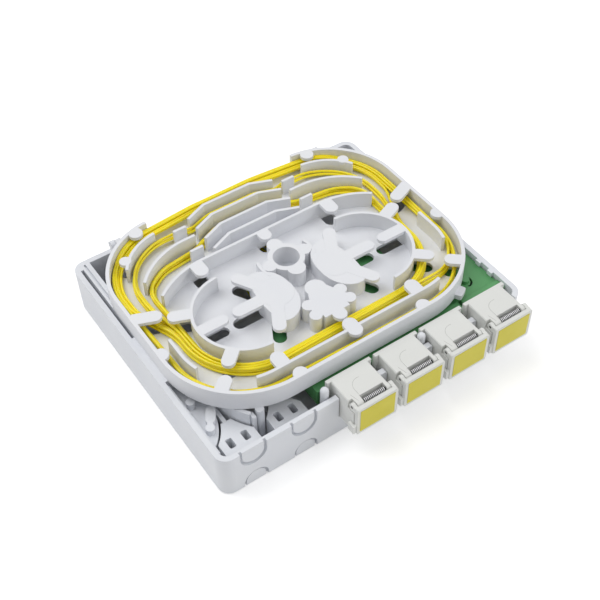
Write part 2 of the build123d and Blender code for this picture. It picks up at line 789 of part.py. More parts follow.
def flap_pin(x):
    left = x - adapter_width / 2 + ear_gap
    right = x + adapter_width / 2 + ear_thickness + hinge_clearance
    return rod_x(pin_radius, left, right, pin_y, pin_z)


def flap_spring(x):
    """The closed coil round the pin, drawn as its sleeve, and the leg that reaches the slot's rear wall."""
    start = x + spring_slot_start + spring_end_gap
    end = x + spring_slot_end - spring_end_gap
    bore = pin_radius + spring_clearance
    mean = bore + spring_wire / 2
    coil = rod_x(bore + spring_wire, start, end, pin_y, pin_z)
    coil -= rod_x(bore, start - over, end + over, pin_y, pin_z)
    return coil + block(start, start + spring_wire, pin_y, pin_y + spring_leg,
                        pin_z - mean - spring_wire / 2, pin_z - bore)


def port_label(x):
    face = adapter_front - flap_gap - flap_thickness
    left = x - adapter_width / 2 + hinge_clearance + label_margin
    right = x + adapter_width / 2 + ear_thickness + ear_gap - label_margin
    return block(left, right, face - label_thickness, face, sill_height + flap_lift + label_margin,
                 adapter_top - label_margin)


def ferrule_sleeves(x):
    """The two split sleeves that line up the fibre ends."""
    solids = []
    start = cavity_end - holder_reach + sleeve_gap
    end = start + sleeve_length
    for side in (-1, 1):
        cx = x + side * plug_pitch / 2
        tube = rod_y(sleeve_radius, cx, start, end, plug_axis_z)
        tube -= rod_y(sleeve_bore, cx, start - over, end + over, plug_axis_z)
        tube -= block(cx - sleeve_slit / 2, cx + sleeve_slit / 2, start - over, end + over,
                      plug_axis_z, plug_axis_z + over)
        solids.append(tube)
    return Compound(children=solids)


def pigtail_plugs(x):
    """Ferrule, body and strain relief of the two inner fibre ends of one adapter."""
    solids = []
    sleeve_end = cavity_end - holder_reach + sleeve_gap + sleeve_length
    half = rear_plug / 2
    for side in (-1, 1):
        cx = x + side * plug_pitch / 2
        plug = rod_y(ferrule_radius, cx, cavity_end - holder_reach / 4, sleeve_end + root, plug_axis_z)
        plug += block(cx - half, cx + half, sleeve_end + sleeve_gap, rear_end, plug_axis_z - half,
                      plug_axis_z + half)
        boot = Cone(boot_radius, boot_tip_radius, boot_length)
        plug += Pos(cx, rear_end + boot_length / 2, plug_axis_z) * Rot(-90, 0, 0) * boot
        solids.append(plug)
    return Compound(children=solids)


boot_end = rear_end + boot_length
riser_y = boat_tops[0] + outer_coil_width * 0.8

# The part of a straight run that a bend may take, where the next bend shares the run and where none does.
shared_run = 0.45
free_run = 0.9

# Where the hidden fibres pass the screw boss.
boss_pass = (-10.6, -6.2, 6.8, 9.4, 14.0, 18.0, 24.0, 28.0)


def pigtail_route(index):
    """Points of one fibre's hidden run, from its boot to the notch at the back of the tray."""
    port, side = divmod(index, 2)
    x0 = ports[port] + (side * 2 - 1) * plug_pitch / 2
    x1 = (index - (2 * port_count - 1) / 2) * riser_pitch
    low = floor_thickness + 2.5
    return [
        (x0, boot_end, plug_axis_z),
        (x0, boot_end + 9.0, plug_axis_z),
        (boss_pass[index], boss_y, low),
        (x1, riser_y - 18.0, low),
        (x1, riser_y, low),
        (x1, riser_y, coil_bottom - riser_gap),
    ]


def pigtail_tube(index):
    """One round fibre jacket along its route, with every bend as wide as the route allows."""
    points = [Vector(*p) for p in pigtail_route(index)]
    radii = []
    for a, b, c in zip(points, points[1:], points[2:]):
        turn = (b - a).get_angle(c - b)
        before = (b - a).length * shared_run
        after = (c - b).length * (free_run if c is points[-1] else shared_run)
        radii.append(min(before, after) / tan(radians(turn / 2)))
    path = FilletPolyline(*points, radius=radii)
    tube = sweep(Plane(origin=path @ 0, z_dir=path % 0) * Circle(fibre_radius), path=path)
    print("fibre", index, "length", round(path.length, 1), "tightest", round(min(radii), 1))
    print("fibre", index, "volume error",
          round(tube.volume / (path.length * pi * fibre_radius ** 2) - 1, 5))
    return tube


def coil_ring(left, radii, width):
    """Fibre turns as one closed band, given by the left half of its middle line."""
    right = [(-x, y) for x, y in reversed(left)]
    corners = list(radii) + list(reversed(radii))
    line = FilletPolyline(*left, *right, radius=corners, close=True)
    return rise(strip(*line.edges(), width=width), coil_bottom, coil_bottom + coil_height)


def outer_coil():
    inset = tray_wall + coil_gap
    band = tray_outline(inset) - tray_outline(inset + outer_coil_width)
    return rise(band, coil_bottom, coil_bottom + coil_height)


def middle_coil():
    x = -tray_half + middle_coil_gap
    top = tray_back - middle_coil_back_gap
    left = [
        (x, tray_front + middle_coil_back_gap),
        (x, top),
        (-boat_end - 2 * coil_step, top),
        (-boat_end - coil_gap / 2, top - coil_dip),
        (-boat_half, top + coil_dip),
    ]
    bends = (wide_bend, wide_bend, tight_bend, tight_bend, crest_bend)
    return coil_ring(left, bends, inner_coil_width)


def inner_coil():
    x = -tray_half + inner_coil_gap
    top = tray_back - inner_coil_back_gap
    left = [
        (x, tray_front + inner_coil_front_gap),
        (x, top - 7 * coil_step),
        (x + 5 * coil_step, top - 4 * coil_step),
        (-boat_end - 2 * coil_step, top - 3 * coil_step),
        (-boat_half, top),
    ]
    bends = (wide_bend - 2 * coil_step, slope_bend, crest_bend, crest_bend, slope_bend)
    return coil_ring(left, bends, inner_coil_width)


write(base_box(), "base_box")
write(splice_tray(), "splice_tray")
write(inner_cover(), "inner_cover")
for number, port_x in enumerate(ports, start=1):
    write(adapter(port_x), "adapter_" + str(number))
    write(sleeve_holder(port_x), "sleeve_holder_" + str(number))
    write(flap(port_x), "flap_" + str(number))
    write(flap_pin(port_x), "flap_pin_" + str(number))
    write(flap_spring(port_x), "flap_spring_" + str(number))
    write(port_label(port_x), "port_label_" + str(number))
    write(ferrule_sleeves(port_x), "ferrule_sleeves_" + str(number))
    write(pigtail_plugs(port_x), "pigtail_plugs_" + str(number))
    pair = [pigtail_tube(2 * number - 2), pigtail_tube(2 * number - 1)]
    write(Compound(children=pair), "pigtail_fibres_" + str(number))
write(outer_coil(), "fibre_coil_outer")
write(middle_coil(), "fibre_coil_middle")
write(inner_coil(), "fibre_coil_inner")
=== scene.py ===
import math
import random

import bmesh
import bpy
from mathutils import Matrix, Vector


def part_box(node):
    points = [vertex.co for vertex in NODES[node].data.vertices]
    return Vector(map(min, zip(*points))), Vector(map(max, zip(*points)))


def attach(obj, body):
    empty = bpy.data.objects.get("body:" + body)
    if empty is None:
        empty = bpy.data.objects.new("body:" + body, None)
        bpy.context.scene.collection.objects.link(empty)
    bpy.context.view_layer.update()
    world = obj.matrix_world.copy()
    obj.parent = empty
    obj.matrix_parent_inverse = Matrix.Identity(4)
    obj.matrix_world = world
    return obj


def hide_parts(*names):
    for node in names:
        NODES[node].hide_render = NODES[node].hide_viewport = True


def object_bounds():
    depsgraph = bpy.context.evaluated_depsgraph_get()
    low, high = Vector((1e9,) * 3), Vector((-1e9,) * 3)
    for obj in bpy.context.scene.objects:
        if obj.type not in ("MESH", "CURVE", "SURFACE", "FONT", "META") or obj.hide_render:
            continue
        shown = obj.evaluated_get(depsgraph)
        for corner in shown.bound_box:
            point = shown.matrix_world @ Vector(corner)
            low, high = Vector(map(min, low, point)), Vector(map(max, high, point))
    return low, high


bl_info = {
    "name": "Fibre termination box",
    "version": (1, 0, 0),
    "blender": (4, 5, 0),
    "location": "View3D > Sidebar > Fibre box",
    "description": "Dresses an opened fibre termination box: mouldings, fibre turns, springs and stage",
    "category": "Object",
}

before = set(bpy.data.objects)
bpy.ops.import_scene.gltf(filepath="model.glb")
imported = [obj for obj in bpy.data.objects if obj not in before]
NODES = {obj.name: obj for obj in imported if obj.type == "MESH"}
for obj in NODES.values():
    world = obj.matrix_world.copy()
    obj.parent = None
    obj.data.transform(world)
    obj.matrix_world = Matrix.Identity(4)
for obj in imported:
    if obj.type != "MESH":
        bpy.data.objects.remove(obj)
cad_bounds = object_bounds()
MM = 0.001
PORTS = (1, 2, 3, 4)

# Places of the factor, the two colours and the result on a Mix node, where several sockets share a name
MIX_FACTOR, MIX_FIRST, MIX_SECOND, MIX_RESULT = 0, 6, 7, 2


def linear(text):
    """An sRGB hex colour as linear RGBA."""
    values = [int(text[i:i + 2], 16) / 255 for i in (1, 3, 5)]
    return tuple(v / 12.92 if v <= 0.04045 else ((v + 0.055) / 1.055) ** 2.4 for v in values) + (1.0,)


# Settings that a user would change

def colour_property(name, description, text):
    return bpy.props.FloatVectorProperty(
        name=name, description=description, subtype="COLOR", size=4, min=0, max=1, default=linear(text))


def length_property(name, description, mm):
    return bpy.props.FloatProperty(name=name, description=description, unit="LENGTH", min=0, default=mm * MM)


class FIBREBOX_PG_mouldings(bpy.types.PropertyGroup):
    box: colour_property("Box", "Colour of the base box", "#E6E8EB")
    tray: colour_property("Tray", "Colour of the splice tray", "#EAEBED")
    cover: colour_property("Inner cover", "Colour of the plate behind the adapters", "#5A9E62")
    adapter: colour_property("Adapter", "Colour of adapters and flaps", "#E3E4E1")
    label: colour_property("Label", "Colour of the label on each flap", "#DACE22")
    grain: length_property("Grain", "Spacing of the fine moulded grain", 0.28)
    edge: length_property("Edge", "Radius that the mould leaves on each edge", 0.16)


class FIBREBOX_PG_fibre(bpy.types.PropertyGroup):
    jacket: colour_property("Jacket", "Colour of the fibre jacket", "#FFEB1C")
    diameter: length_property("Diameter", "Outer diameter of one jacket", 0.9)
    sides: bpy.props.IntProperty(name="Sides", description="Sides of the round section", min=6, default=12)
    seed: bpy.props.IntProperty(name="Seed", description="Fixes how the turns wander", default=4)


class FIBREBOX_PG_spring(bpy.types.PropertyGroup):
    wire: length_property("Wire", "Diameter of the spring wire", 0.3)
    radius: length_property("Radius", "Mean radius of the spring's turns", 0.78)
    turns: bpy.props.IntProperty(name="Turns", description="Turns on each spring", min=2, default=13)
    leg: length_property("Leg", "Length of the leg that reaches the slot's rear wall", 1.4)


class FIBREBOX_PG_stage(bpy.types.PropertyGroup):
    background: colour_property("Background", "Colour of floor and backdrop", "#FFFFFF")
    lens: bpy.props.FloatProperty(
        name="Lens", description="Focal length in millimetres", min=1, default=62.24)


# Shader helpers

def add_node(tree, kind, inputs=None, **settings):
    """One node with its settings; an input is a value or another node's output."""
    made = tree.nodes.new(kind)
    for name, value in settings.items():
        setattr(made, name, value)
    for name, value in (inputs or {}).items():
        if isinstance(value, bpy.types.NodeSocket):
            tree.links.new(value, made.inputs[name])
        else:
            made.inputs[name].default_value = value
    return made


def new_material(name):
    """An empty node material with its output, ready for a shader."""
    made = bpy.data.materials.new(name)
    made.use_nodes = True
    made.node_tree.nodes.clear()
    return made, made.node_tree, add_node(made.node_tree, "ShaderNodeOutputMaterial")


def shade(colour, factor):
    return tuple(c * factor for c in colour[:3]) + (1.0,)


def moulded_plastic(name, colour, grain, edge, roughness=0.46, shadow=(0.93, 0.94, 0.98)):
    """Injection-moulded ABS or PBT: a satin skin with fine eroded grain, faint flow marks and soft edges."""
    flow_size = 14 * MM
    grain_depth = 0.02 * MM
    glossiest, dullest = roughness - 0.06, roughness + 0.08
    made, tree, output = new_material(name)
    place = add_node(tree, "ShaderNodeTexCoord").outputs["Object"]
    flow = add_node(tree, "ShaderNodeTexNoise", {"Vector": place, "Scale": 1 / flow_size, "Detail": 3.0})
    speck = add_node(tree, "ShaderNodeTexNoise", {"Vector": place, "Scale": 1 / grain, "Detail": 2.0})
    dark = tuple(c * s for c, s in zip(colour, shadow)) + (1.0,)
    tint = add_node(tree, "ShaderNodeMix", {
        MIX_FACTOR: flow.outputs["Fac"], MIX_FIRST: colour, MIX_SECOND: dark}, data_type="RGBA")
    gloss = add_node(tree, "ShaderNodeMapRange", {
        "Value": flow.outputs["Fac"], "To Min": glossiest, "To Max": dullest})
    soft = add_node(tree, "ShaderNodeBevel", {"Radius": edge}, samples=4)
    bump = add_node(tree, "ShaderNodeBump", {
        "Height": speck.outputs["Fac"], "Strength": 0.12, "Distance": grain_depth,
        "Normal": soft.outputs["Normal"]})
    shader = add_node(tree, "ShaderNodeBsdfPrincipled", {
        "Base Color": tint.outputs[MIX_RESULT], "Roughness": gloss.outputs["Result"],
        "Normal": bump.outputs["Normal"], "IOR": 1.53})
    tree.links.new(shader.outputs["BSDF"], output.inputs["Surface"])
    return made


def fibre_jacket(name, colour):
    """Extruded yellow jacket: smooth and slightly waxy, a little deeper where the pigment is thick."""
    drift_size = 9 * MM
    fleck_size = 0.35 * MM
    fleck_depth = 0.02 * MM
    glow_depth = 0.3 * MM
    glossiest, dullest = 0.24, 0.36
    deep = shade(colour, 0.9)
    made, tree, output = new_material(name)
    place = add_node(tree, "ShaderNodeTexCoord").outputs["Object"]
    drift = add_node(tree, "ShaderNodeTexNoise", {"Vector": place, "Scale": 1 / drift_size, "Detail": 2.0})
    fine = add_node(tree, "ShaderNodeTexNoise", {"Vector": place, "Scale": 1 / fleck_size, "Detail": 2.0})
    tint = add_node(tree, "ShaderNodeMix", {
        MIX_FACTOR: drift.outputs["Fac"], MIX_FIRST: colour, MIX_SECOND: deep}, data_type="RGBA")
    bump = add_node(tree, "ShaderNodeBump", {
        "Height": fine.outputs["Fac"], "Strength": 0.08, "Distance": fleck_depth})
    gloss = add_node(tree, "ShaderNodeMapRange", {
        "Value": drift.outputs["Fac"], "To Min": glossiest, "To Max": dullest})
    shader = add_node(tree, "ShaderNodeBsdfPrincipled", {
        "Base Color": tint.outputs[MIX_RESULT], "Roughness": gloss.outputs["Result"],
        "Normal": bump.outputs["Normal"], "IOR": 1.5, "Subsurface Weight": 0.25,
        "Subsurface Radius": (1.0, 0.6, 0.15), "Subsurface Scale": glow_depth})
    tree.links.new(shader.outputs["BSDF"], output.inputs["Surface"])
    return made


def drawn_steel(name, colour, roughness):
    """Drawn spring wire: metal with fine lines along the draw and small changes of gloss."""
    # Real draw lines are far finer, and are drawn this coarse so that they show.
    line_spacing = 0.12 * MM
    glossiest, dullest = roughness - 0.08, roughness + 0.1
    worn = shade(colour, 0.8)
    made, tree, output = new_material(name)
    place = add_node(tree, "ShaderNodeTexCoord").outputs["Object"]
    along = add_node(tree, "ShaderNodeMapping", {"Vector": place, "Scale": (0.2, 1.0, 1.0)})
    lines = add_node(tree, "ShaderNodeTexNoise", {
        "Vector": along.outputs["Vector"], "Scale": 1 / line_spacing, "Detail": 3.0})
    gloss = add_node(tree, "ShaderNodeMapRange", {
        "Value": lines.outputs["Fac"], "To Min": glossiest, "To Max": dullest})
    tint = add_node(tree, "ShaderNodeMix", {
        MIX_FACTOR: lines.outputs["Fac"], MIX_FIRST: colour, MIX_SECOND: worn}, data_type="RGBA")
    shader = add_node(tree, "ShaderNodeBsdfPrincipled", {
        "Base Color": tint.outputs[MIX_RESULT], "Roughness": gloss.outputs["Result"], "Metallic": 1.0})
    tree.links.new(shader.outputs["BSDF"], output.inputs["Surface"])
    return made


def ceramic(name, colour):
    """Ground zirconia: white, dense and nearly polished."""
    cloud_size = 1.5 * MM
    clouded = shade(colour, 0.93)
    made, tree, output = new_material(name)
    place = add_node(tree, "ShaderNodeTexCoord").outputs["Object"]
    cloud = add_node(tree, "ShaderNodeTexNoise", {"Vector": place, "Scale": 1 / cloud_size})
    tint = add_node(tree, "ShaderNodeMix", {
        MIX_FACTOR: cloud.outputs["Fac"], MIX_FIRST: colour, MIX_SECOND: clouded}, data_type="RGBA")
    shader = add_node(tree, "ShaderNodeBsdfPrincipled", {
        "Base Color": tint.outputs[MIX_RESULT], "Roughness": 0.15, "IOR": 2.15})
    tree.links.new(shader.outputs["BSDF"], output.inputs["Surface"])
    return made


def label_film(name, colour):
    """Printed polyester film: an even yellow with the faint dots of its print and a soft sheen."""
    # Real print dots are finer, and are drawn this coarse so that they show.
    dot_spacing = 0.25 * MM
    cloud_size = 5 * MM
    glossiest, dullest = 0.3, 0.45
    between_dots = shade(colour, 0.8)
    made, tree, output = new_material(name)
    place = add_node(tree, "ShaderNodeTexCoord").outputs["Object"]
    dots = add_node(tree, "ShaderNodeTexVoronoi", {"Vector": place, "Scale": 1 / dot_spacing})
    cloud = add_node(tree, "ShaderNodeTexNoise", {"Vector": place, "Scale": 1 / cloud_size})
    fade = add_node(tree, "ShaderNodeMath", {
        0: dots.outputs["Distance"], 1: cloud.outputs["Fac"]}, operation="MULTIPLY")
    tint = add_node(tree, "ShaderNodeMix", {
        MIX_FACTOR: fade.outputs["Value"], MIX_FIRST: colour, MIX_SECOND: between_dots}, data_type="RGBA")
    gloss = add_node(tree, "ShaderNodeMapRange", {
        "Value": cloud.outputs["Fac"], "To Min": glossiest, "To Max": dullest})
    shader = add_node(tree, "ShaderNodeBsdfPrincipled", {
        "Base Color": tint.outputs[MIX_RESULT], "Roughness": gloss.outputs["Result"]})
    tree.links.new(shader.outputs["BSDF"], output.inputs["Surface"])
    return made


def material(name):
    """The finished material of that name, made once."""
    scene = bpy.context.scene
    found = bpy.data.materials.get(name)
    if found:
        return found
    colours = scene.fibrebox_mouldings
    makers = {
        "abs_box": lambda: moulded_plastic(name, colours.box, colours.grain, colours.edge),
        "abs_tray": lambda: moulded_plastic(name, colours.tray, colours.grain, colours.edge),
        "abs_green": lambda: moulded_plastic(
            name, colours.cover, colours.grain, colours.edge, 0.4, (0.8, 0.85, 0.85)),
        "pbt_grey": lambda: moulded_plastic(
            name, colours.adapter, colours.grain, 0.1 * MM, 0.5, (0.95, 0.95, 0.94)),
        "film_yellow": lambda: label_film(name, colours.label),
        "jacket_yellow": lambda: fibre_jacket(name, scene.fibrebox_fibre.jacket),
        "spring_wire": lambda: drawn_steel(name, linear("#E2E2E4"), 0.3),
        # The pin is painted near black as painted shade, so that the gaps between the spring's turns show
        # dark.
        "pin_painted_shade": lambda: drawn_steel(name, linear("#2C2D31"), 0.45),
        # The adapter's lines are painted a darker grey than the adapter: painted shade of the moulded
        # grooves.
        "painted_groove_shade": lambda: moulded_plastic(
            name, linear("#B4B5B1"), colours.grain, 0.05 * MM, 0.6, (0.95, 0.95, 0.94)),
        "zirconia": lambda: ceramic(name, linear("#F1EEE4")),
    }
    return makers[name]()


# Mesh helpers

# Sides of a spring's round wire, and steps in one of its turns
WIRE_SIDES = 8
TURN_STEPS = 20


def finish_piece(obj, body, slot_name, *replaced):
    """Seats a finished mesh on its body and hides the nodes it stands for. The slot name is not used."""
    if replaced:
        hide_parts(*replaced)
    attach(obj, body)


def object_from(mesh, name, material_name):
    made = bpy.data.objects.new(name, mesh)
    bpy.context.scene.collection.objects.link(made)
    mesh.materials.clear()
    mesh.materials.append(material(material_name))
    return made


def path_mesh(name, paths):
    """A mesh of plain edges along each list of points; a path may be closed."""
    mesh = bmesh.new()
    for points, closed in paths:
        vertices = [mesh.verts.new(p) for p in points]
        for a, b in zip(vertices, vertices[1:]):
            mesh.edges.new((a, b))
        if closed:
            mesh.edges.new((vertices[-1], vertices[0]))
    made = bpy.data.meshes.new(name)
    mesh.to_mesh(made)
    mesh.free()
    return made


def node_group(name, sizes):
    """A geometry tree with its own inputs: geometry, sizes and a material."""
    tree = bpy.data.node_groups.new(name, "GeometryNodeTree")
    tree.interface.new_socket("Geometry", in_out="INPUT", socket_type="NodeSocketGeometry")
    for label, kind, value in sizes:
        socket = tree.interface.new_socket(label, in_out="INPUT", socket_type=kind)
        socket.default_value = value
    tree.interface.new_socket("Finish", in_out="INPUT", socket_type="NodeSocketMaterial")
    tree.interface.new_socket("Geometry", in_out="OUTPUT", socket_type="NodeSocketGeometry")
    return tree, add_node(tree, "NodeGroupInput"), add_node(tree, "NodeGroupOutput")


def close_tree(tree, source, entry, exit_node):
    """Realizes, shades and paints the geometry, and sends it out."""
    real = add_node(tree, "GeometryNodeRealizeInstances", {"Geometry": source})
    smooth = add_node(tree, "GeometryNodeSetShadeSmooth", {"Geometry": real.outputs["Geometry"]})
    paint = add_node(tree, "GeometryNodeSetMaterial", {
        "Geometry": smooth.outputs["Geometry"], "Material": entry.outputs["Finish"]})
    tree.links.new(paint.outputs["Geometry"], exit_node.inputs["Geometry"])


def tube_tree():
    """Round tubes along the edges that come in."""
    tree, entry, leave = node_group("Tube along path", [
        ("Radius", "NodeSocketFloat", 0.45 * MM), ("Sides", "NodeSocketInt", 12)])
    curve = add_node(tree, "GeometryNodeMeshToCurve", {"Mesh": entry.outputs["Geometry"]})
    ring = add_node(tree, "GeometryNodeCurvePrimitiveCircle", {
        "Resolution": entry.outputs["Sides"], "Radius": entry.outputs["Radius"]})
    tube = add_node(tree, "GeometryNodeCurveToMesh", {
        "Curve": curve.outputs["Curve"], "Profile Curve": ring.outputs["Curve"], "Fill Caps": True})
    close_tree(tree, tube.outputs["Mesh"], entry, leave)
    return tree


def spring_tree():
    """A close-wound helix along X, from the number of turns and its length."""
    tree, entry, leave = node_group("Wound spring", [
        ("Wire radius", "NodeSocketFloat", 0.15 * MM), ("Mean radius", "NodeSocketFloat", 0.78 * MM),
        ("Length", "NodeSocketFloat", 8 * MM), ("Turns", "NodeSocketFloat", 13.0)])
    helix = add_node(tree, "GeometryNodeCurveSpiral", {
        "Resolution": TURN_STEPS, "Rotations": entry.outputs["Turns"], "Height": entry.outputs["Length"],
        "Start Radius": entry.outputs["Mean radius"], "End Radius": entry.outputs["Mean radius"]})
    lay = add_node(tree, "GeometryNodeTransform", {
        "Geometry": helix.outputs["Curve"], "Rotation": (0.0, math.pi / 2, 0.0)})
    ring = add_node(tree, "GeometryNodeCurvePrimitiveCircle", {
        "Resolution": WIRE_SIDES, "Radius": entry.outputs["Wire radius"]})
    wire = add_node(tree, "GeometryNodeCurveToMesh", {
        "Curve": lay.outputs["Geometry"], "Profile Curve": ring.outputs["Curve"], "Fill Caps": True})
    close_tree(tree, wire.outputs["Mesh"], entry, leave)
    return tree


def joined(meshes):
    """One mesh with the faces of all of them."""
    whole = bmesh.new()
    for mesh in meshes:
        whole.from_mesh(mesh)
    made = bpy.data.meshes.new("joined")
    whole.to_mesh(made)
    whole.free()
    return made


def prism(outline, low, high, soft):
    """An upright solid on a closed outline, its upper edge rounded off."""
    mesh = bmesh.new()
    face = mesh.faces.new([mesh.verts.new((x * MM, y * MM, low)) for x, y in outline])
    top = bmesh.ops.extrude_face_region(mesh, geom=[face])["geom"]
    raised = [v for v in top if isinstance(v, bmesh.types.BMVert)]
    bmesh.ops.translate(mesh, verts=raised, vec=(0, 0, high - low))
    rim = [e for e in mesh.edges if all(v.co.z > (low + high) / 2 for v in e.verts)]
    bmesh.ops.bevel(mesh, geom=rim, offset=soft, segments=3, affect="EDGES", profile=0.5)
    bmesh.ops.recalc_face_normals(mesh, faces=mesh.faces)
    made = bpy.data.meshes.new("prism")
    mesh.to_mesh(made)
    mesh.free()
    return made


def grow(mesh, tree, values, material_name):
    """Runs a geometry tree on a mesh and gives the plain mesh that results."""
    holder = bpy.data.objects.new("holder", mesh)
    bpy.context.scene.collection.objects.link(holder)
    modifier = holder.modifiers.new("grow", "NODES")
    modifier.node_group = tree
    values = dict(values, Finish=material(material_name))
    for item in tree.interface.items_tree:
        if item.item_type == "SOCKET" and item.in_out == "INPUT" and item.name in values:
            modifier[item.identifier] = values[item.name]
    graph = bpy.context.evaluated_depsgraph_get()
    result = bpy.data.meshes.new_from_object(holder.evaluated_get(graph), depsgraph=graph)
    holder.modifiers.remove(modifier)
    bpy.data.objects.remove(holder)
    return result


# Routes of the fibre turns, in millimetres. Each is the left half of a loop, from its front corner along
# the left wall to the middle of the back: x, y and the radius of the bend there.

DRUM_BEND = (-40.3, -25.6, 18.8)
BACK_BENDS = [(-50.5, 40.2, 22.4), (-11.0, 43.9, 50.0)]
HALF_LOOPS = {
    "wall": [(-49.7, -34.7, 24.7)] + BACK_BENDS,
    "crossing": [(-41.8, -26.1, 19.8), (-42.6, -1.0, 20.0), (-50.2, 13.6, 16.0)] + BACK_BENDS,
    "late": [(-41.5, -27.3, 12.0), (-49.9, -17.0, 14.0)] + BACK_BENDS,
    "middle": [DRUM_BEND, (-41.0, 0.5, 24.0), (-43.9, 12.0, 24.0), (-43.9, 35.8, 18.0), (-19.6, 35.8, 6.0),
               (-16.5, 34.7, 6.0), (-8.9, 36.9, 12.0)],
    "inner": [DRUM_BEND, (-41.2, 19.55, 9.0), (-32.95, 24.5, 12.0), (-19.6, 26.15, 12.0), (-8.9, 31.1, 9.0)],
}
# Turns by the coil that they stand for: route at the left and at the right, the lanes at the left front, the
# right front and the back, and the layer. A lane is the distance outwards from the route.
COILS = {
    "outer": [
        ("wall", "wall", -1.6, 0.3, -0.2, 0.0), ("wall", "wall", -2.3, -0.4, -0.7, 1.0),
        ("wall", "wall", -1.3, -0.2, -0.3, 2.0),
        ("crossing", "late", 2.1, -0.5, -1.15, 0.0), ("crossing", "crossing", 1.1, 0.4, -2.2, 0.0),
        ("crossing", "late", 1.6, -0.9, -1.7, 1.0), ("crossing", "crossing", 0.6, 0.0, -2.6, 1.0),
        ("crossing", "late", 1.2, -1.3, -1.1, 2.0),
    ],
    "middle": [
        ("middle", "middle", 0.7, 0.1, 0.5, 0.0), ("middle", "middle", 0.2, -0.3, -0.5, 1.0),
        ("middle", "middle", 0.7, 0.0, 0.2, 2.0),
    ],
    "inner": [
        ("inner", "inner", -1.3, -1.3, -0.6, 0.0), ("inner", "inner", -0.3, -0.6, 0.45, 0.0),
        ("inner", "inner", -0.8, -1.0, 0.95, 1.0), ("inner", "inner", -0.3, -0.6, -0.1, 2.0),
    ],
}
# Distance between the points of a turn, height of a layer, and how far a turn drifts sideways and upwards
STEP = 1.0
LAYER = 0.82
SWAY = 0.2
LIFT = 0.16
# How high the turns climb at the back of the tray, from which Y and over what length
BACK_RISE = 1.1
RISE_START = 33.0
RISE_LENGTH = 7.0


def half_points(route, front_lane, back_lane):
    """Corners of the left half loop, each with its radius and its lane, from the front's to the back's."""
    corners = HALF_LOOPS[route]
    last = len(corners) - 1
    return [(Vector((x, y)), radius, front_lane + (back_lane - front_lane) * min(1.0, 2.0 * i / last))
            for i, (x, y, radius) in enumerate(corners)]


def laned_loop(left_route, right_route, left_front, right_front, back_lane):
    """Corners and radii of the whole loop, each corner moved outwards by its lane."""
    right = half_points(right_route, right_front, back_lane)
    corners = half_points(left_route, left_front, back_lane)
    corners += [(Vector((-p.x, p.y)), radius, lane) for p, radius, lane in reversed(right)]
    count = len(corners)
    moved = []
    for i, (here, radius, lane) in enumerate(corners):
        before = (here - corners[i - 1][0]).normalized()
        after = (corners[(i + 1) % count][0] - here).normalized()
        normals = Vector((-before.y, before.x)) + Vector((-after.y, after.x))
        mitre = normals / (1 + before.dot(after))
        outward_bend = before.x * after.y - before.y * after.x < 0
        moved.append((here + mitre * lane, radius + (lane if outward_bend else -lane)))
    return moved


def rounded_loop(corners):
    """Evenly spaced points and side directions round a closed run of corners with rounded bends."""
    points = []
    count = len(corners)
    for i, (here, radius) in enumerate(corners):
        before = (corners[i - 1][0] - here).normalized()
        after = (corners[(i + 1) % count][0] - here).normalized()
        half = before.angle(after) / 2
        reach = radius / math.tan(half)
        centre = here + (before + after).normalized() * (radius / math.sin(half))
        start, end = here + before * reach, here + after * reach
        a = math.atan2(*(start - centre).yx)
        turn = (math.atan2(*(end - centre).yx) - a + math.pi) % math.tau - math.pi
        steps = max(2, round(abs(turn) * radius / STEP))
        points += [centre + Vector((math.cos(a + turn * k / steps), math.sin(a + turn * k / steps))) * radius
                   for k in range(steps + 1)]
    return even_loop(points)


def even_loop(points):
    """The closed line through points, cut into equal steps, each with its outward side direction."""
    lengths = [(b - a).length for a, b in zip(points, points[1:] + points[:1])]
    total = sum(lengths)
    count = round(total / STEP)
    made, index, passed = [], 0, 0.0
    for k in range(count):
        wanted = total * k / count
        while passed + lengths[index] < wanted:
            passed += lengths[index]
            index += 1
        a, b = points[index], points[(index + 1) % len(points)]
        made.append(a.lerp(b, (wanted - passed) / max(lengths[index], 1e-9)))
    sides = []
    for k in range(count):
        ahead = made[(k + 1) % count] - made[k - 1]
        sides.append(Vector((-ahead.y, ahead.x)).normalized())
    return made, sides


def wander(rng, size, counts=(1, 2, 3, 5)):
    """A slow closed wave with fixed random phases, for how a turn drifts in its channel."""
    waves = [(n, rng.uniform(0, math.tau), rng.uniform(0.4, 1.0)) for n in counts]
    weight = sum(w for _, _, w in waves)
    return lambda t: size * sum(w * math.sin(math.tau * n * t + p) for n, p, w in waves) / weight


def turns(strands, rng, base):
    """Closed turns side by side and over each other: one list of points for each."""
    made = []
    for left_route, right_route, left_front, right_front, back_lane, layer in strands:
        points, sides = rounded_loop(laned_loop(left_route, right_route, left_front, right_front, back_lane))
        count = len(points)
        sway, lift = wander(rng, SWAY, (2, 3, 5, 7)), wander(rng, LIFT)
        line = []
        for k, (point, side) in enumerate(zip(points, sides)):
            t = k / count
            spot = point + side * sway(t)
            far = min(max((spot.y - RISE_START) / RISE_LENGTH, 0.0), 1.0)
            climb = BACK_RISE * far * far * (3 - 2 * far)
            line.append(Vector((spot.x, spot.y, base + layer * LAYER + climb + abs(lift(t)))) * MM)
        made.append((line, True))
    return made


# Outline of the left hub's plateau, from the back round by the middle of the tray, in millimetres
HUB_OUTLINE = [
    (-13.6, 4.1), (-11.2, 3.9), (-8.6, 2.5), (-6.6, 0.2), (-5.5, -2.8), (-5.1, -6.2),
    (-5.3, -9.6), (-6.2, -12.8), (-8.0, -15.6), (-10.4, -17.4), (-13.0, -18.0), (-15.0, -17.2),
    (-16.2, -14.8), (-16.7, -11.6), (-16.8, -8.2), (-16.6, -4.6), (-16.0, -1.2), (-15.2, 1.8),
]
OUTLINE_STEPS = 5
# How far the plateau's top lies below the tray's, and the radius of its upper edge
HUB_STEP = 0.03 * MM
HUB_EDGE = 0.2 * MM
# How far the plateau's foot lies below the coils, so that it ends within the tray's floor
HUB_FOOT = 0.25 * MM


